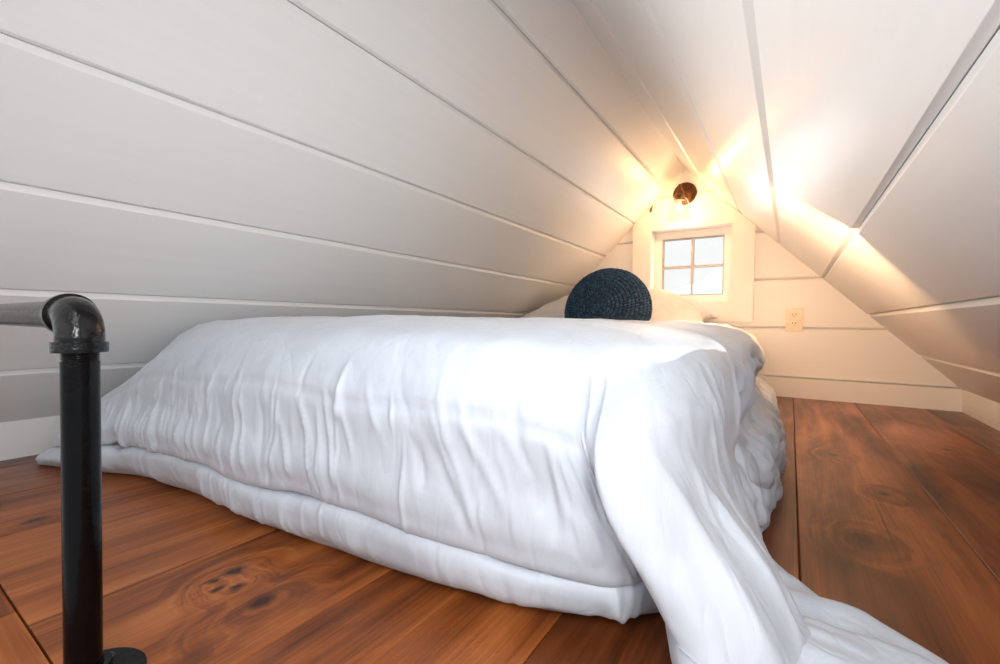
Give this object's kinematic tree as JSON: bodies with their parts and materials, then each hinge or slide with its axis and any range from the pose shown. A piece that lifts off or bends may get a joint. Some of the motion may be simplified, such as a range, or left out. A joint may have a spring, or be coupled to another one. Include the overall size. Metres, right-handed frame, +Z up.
{
  "type": "tiny house sleeping loft",
  "caption": "Gabled sleeping loft of a tiny house, open at the front, with roof, plank floor, small gable window, pipe guard rail, wall lamp and a floor bed.",
  "frame": {"origin": "middle of the loft's width and depth, at the underside of the wall plates that it stands on", "axes": "+Y from the open edge towards the gable wall and its window, +Z up, +X to the right when looking at the gable wall"},
  "size_m": [2.574, 2.696, 1.5463],
  "materials": {
    "raw_timber": "sawn, unpainted",
    "stained_pine": "reddish-brown stain, satin varnish",
    "white_paint": "semi-gloss paint",
    "roof_metal": "satin coated sheet",
    "window_glass": "clear",
    "cream_plastic": "gloss",
    "bronze": "oil-rubbed bronze",
    "lamp_glass": "clear",
    "bulb_glass": "clear, warm",
    "black_iron": "gloss black",
    "mattress_cloth": "quilted",
    "comforter_cloth": "soft satin weave",
    "pillow_cloth": "plain weave",
    "knitted_wool": "thick crochet"
  },
  "bodies": {
    "root": {"wall_plates": "raw_timber", "back_wall_plate": "raw_timber", "rim_joists": "raw_timber", "floor_joists": "stained_pine", "front_beam": "stained_pine", "floor_deck": "stained_pine", "edge_board": "stained_pine", "left_rafters": "raw_timber", "right_rafters": "raw_timber", "ridge_board": "raw_timber", "left_lining": "white_paint", "right_lining": "white_paint", "left_sheathing": "raw_timber", "right_sheathing": "raw_timber", "left_roof_sheet": "roof_metal", "right_roof_sheet": "roof_metal", "left_roof_seams": "roof_metal", "right_roof_seams": "roof_metal", "ridge_cap": "roof_metal", "side_siding": "white_paint", "fascias": "white_paint", "left_rakes": "white_paint", "right_rakes": "white_paint", "gable_lining": "white_paint", "gable_frame": "raw_timber", "gable_siding": "white_paint", "window_jamb": "white_paint", "window_sash": "white_paint", "window_glass": "window_glass", "side_casings": "white_paint", "cross_casings": "white_paint", "outer_casing": "white_paint", "gable_baseboard": "white_paint", "side_baseboards": "white_paint", "outlet": "cream_plastic", "lamp_plate": "bronze", "lamp_arm": "bronze", "lamp_shade": "lamp_glass", "lamp_bulb": "bulb_glass", "rail_posts": "black_iron", "rail_elbows": "black_iron", "rail_pipe": "black_iron", "rail_flanges": "black_iron", "mattress": "mattress_cloth", "comforter": "comforter_cloth", "pillow": "pillow_cloth", "round_cushion": "knitted_wool"}
  },
  "joints": []
}
